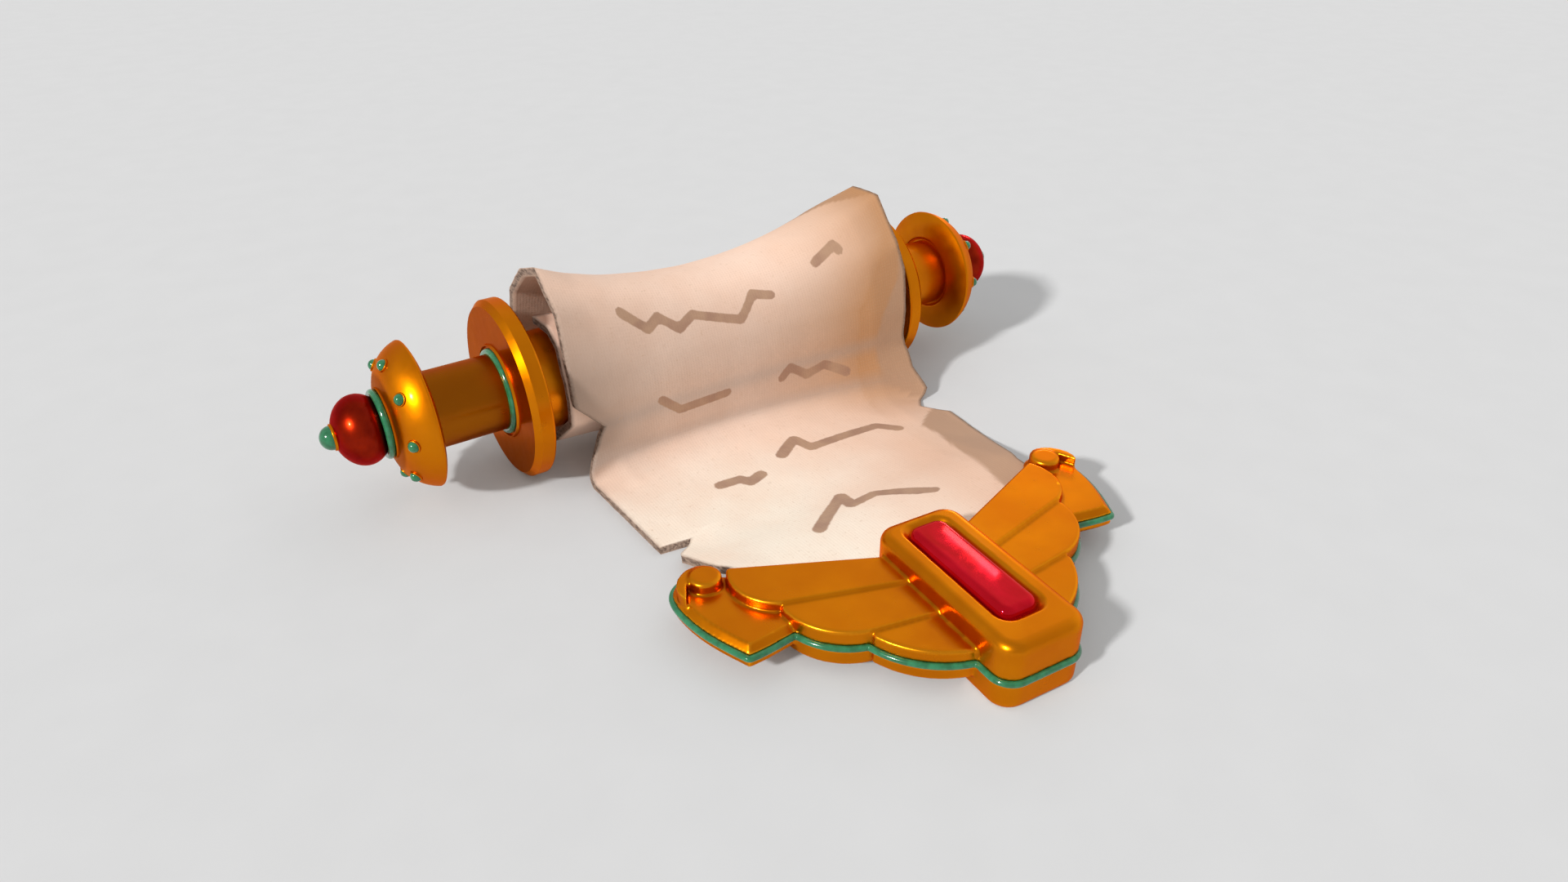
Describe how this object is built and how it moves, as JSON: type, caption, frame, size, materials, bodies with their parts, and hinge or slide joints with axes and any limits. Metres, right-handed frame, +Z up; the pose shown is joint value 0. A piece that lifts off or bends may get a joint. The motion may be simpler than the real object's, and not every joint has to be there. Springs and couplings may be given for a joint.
{
  "type": "paper scroll",
  "caption": "Open paper scroll: a creased sheet runs from a roller with domed, bead-tipped ends to a winged clasp with a long gem.",
  "frame": {"origin": "middle of the underside, on the table, below the centre of the bounding box", "axes": "+X along the roller, +Y from the clasp towards the roller, +Z up"},
  "size_m": [0.4064, 0.3166, 0.1082],
  "materials": {
    "paper": "matte, browned at the edges",
    "gilt_brass": "satin gilt",
    "green_enamel": "gloss enamel",
    "red_lacquer": "deep metallic lacquer",
    "gem_glass": "polished, closed back",
    "steel": "brushed"
  },
  "bodies": {
    "sheet": {"paper_sheet": "paper", "clasp_upper_shell": "gilt_brass", "clasp_lower_shell": "gilt_brass", "clasp_piping": "green_enamel", "clasp_gem": "gem_glass", "clasp_screws": "steel"},
    "roller": {"roller_core": "gilt_brass", "tie_rod": "steel", "left_flange": "gilt_brass", "left_flange_ring": "green_enamel", "left_handle": "gilt_brass", "left_dome": "gilt_brass", "left_dome_stud_cups": "gilt_brass", "left_dome_studs": "green_enamel", "left_collar_ring": "green_enamel", "left_ball": "red_lacquer", "left_tip_cup": "gilt_brass", "left_tip_bead": "green_enamel", "right_flange": "gilt_brass", "right_flange_ring": "green_enamel", "right_handle": "gilt_brass", "right_dome": "gilt_brass", "right_dome_stud_cups": "gilt_brass", "right_dome_studs": "green_enamel", "right_collar_ring": "green_enamel", "right_ball": "red_lacquer", "right_tip_cup": "gilt_brass", "right_tip_bead": "green_enamel"}
  },
  "joints": [
    {"name": "roller_turn", "type": "hinge", "parent": "sheet", "child": "roller", "pos_m": [0, 0.11328, 0.045], "axis": [1, 0, 0], "continuous": true}
  ]
}
